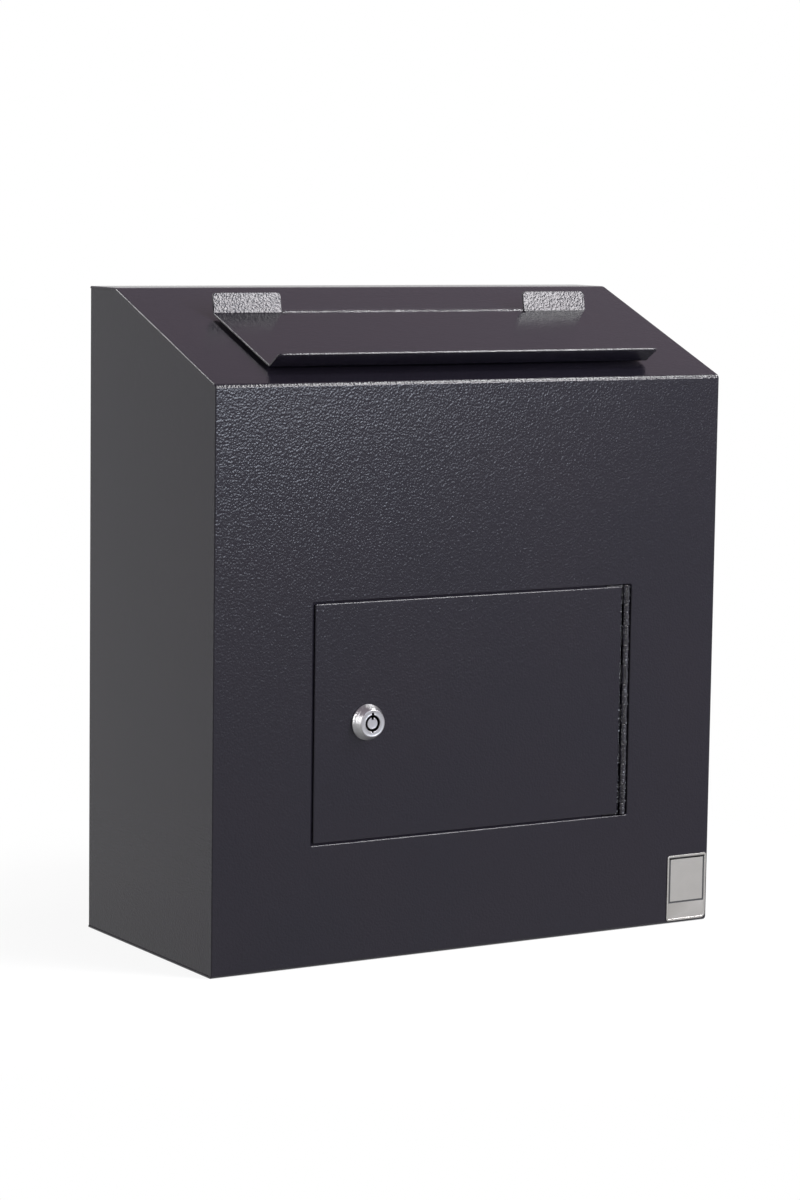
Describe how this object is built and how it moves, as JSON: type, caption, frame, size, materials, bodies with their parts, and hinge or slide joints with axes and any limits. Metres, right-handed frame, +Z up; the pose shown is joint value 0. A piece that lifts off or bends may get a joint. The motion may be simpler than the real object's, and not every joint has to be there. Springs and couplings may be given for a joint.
{
  "type": "drop box",
  "caption": "Wall-mounted steel drop box with a sloping hinged drop flap, baffled slot, and a flush door with a tubular-key cam lock.",
  "frame": {"origin": "centre of the case's flat bottom face", "axes": "+Z up; -Y out of the front, with the door, and +Y into the wall; +X to the right seen from the front"},
  "size_m": [0.364, 0.1716, 0.406],
  "materials": {
    "powder_coat": "charcoal fine-textured powder coat",
    "plate_metal": "satin, with a black inner frame line",
    "hinge_pin_steel": "bright drawn wire",
    "lock_chrome": "nickel-chrome, satin",
    "lock_plug_steel": "bright turned",
    "tumbler_steel": "turned",
    "zinc_steel": "zinc-plated"
  },
  "bodies": {
    "case": {"case_wrap": "powder_coat", "left_side_plate": "powder_coat", "right_side_plate": "powder_coat", "back_pan": "powder_coat", "door_stop_top": "powder_coat", "door_stop_bottom": "powder_coat", "door_strike": "powder_coat", "front_baffle": "powder_coat", "rear_baffle": "powder_coat", "name_plate": "plate_metal", "door_hinge_frame_leaf": "powder_coat", "door_hinge_pin": "hinge_pin_steel", "flap_hinge_fixed_leaf": "powder_coat", "flap_hinge_pin": "hinge_pin_steel"},
    "flap": {"flap_plate": "powder_coat", "flap_hinge_moving_leaf": "powder_coat"},
    "door": {"door_panel": "powder_coat", "door_stiffener": "powder_coat", "door_hinge_door_leaf": "powder_coat", "lock_housing": "lock_chrome", "lock_washer": "zinc_steel", "lock_nut": "zinc_steel"},
    "lock": {"lock_plug": "lock_plug_steel", "tumbler_pins": "tumbler_steel", "cam_stop_washer": "zinc_steel", "lock_cam": "zinc_steel", "cam_spring_washer": "zinc_steel", "cam_nut": "zinc_steel"}
  },
  "joints": [
    {"name": "flap_hinge", "type": "hinge", "parent": "case", "child": "flap", "pos_m": [0, 0.00668, 0.39145], "axis": [-1, 0, 0], "range_deg": [0, 72]},
    {"name": "door_hinge", "type": "hinge", "parent": "case", "child": "door", "pos_m": [0.11355, -0.0821, 0.149], "axis": [0, 0, 1], "range_deg": [0, 155]},
    {"name": "lock_turn", "type": "hinge", "parent": "door", "child": "lock", "pos_m": [-0.0761, -0.0825, 0.1478], "axis": [0, 1, 0], "range_deg": [0, 90]}
  ]
}
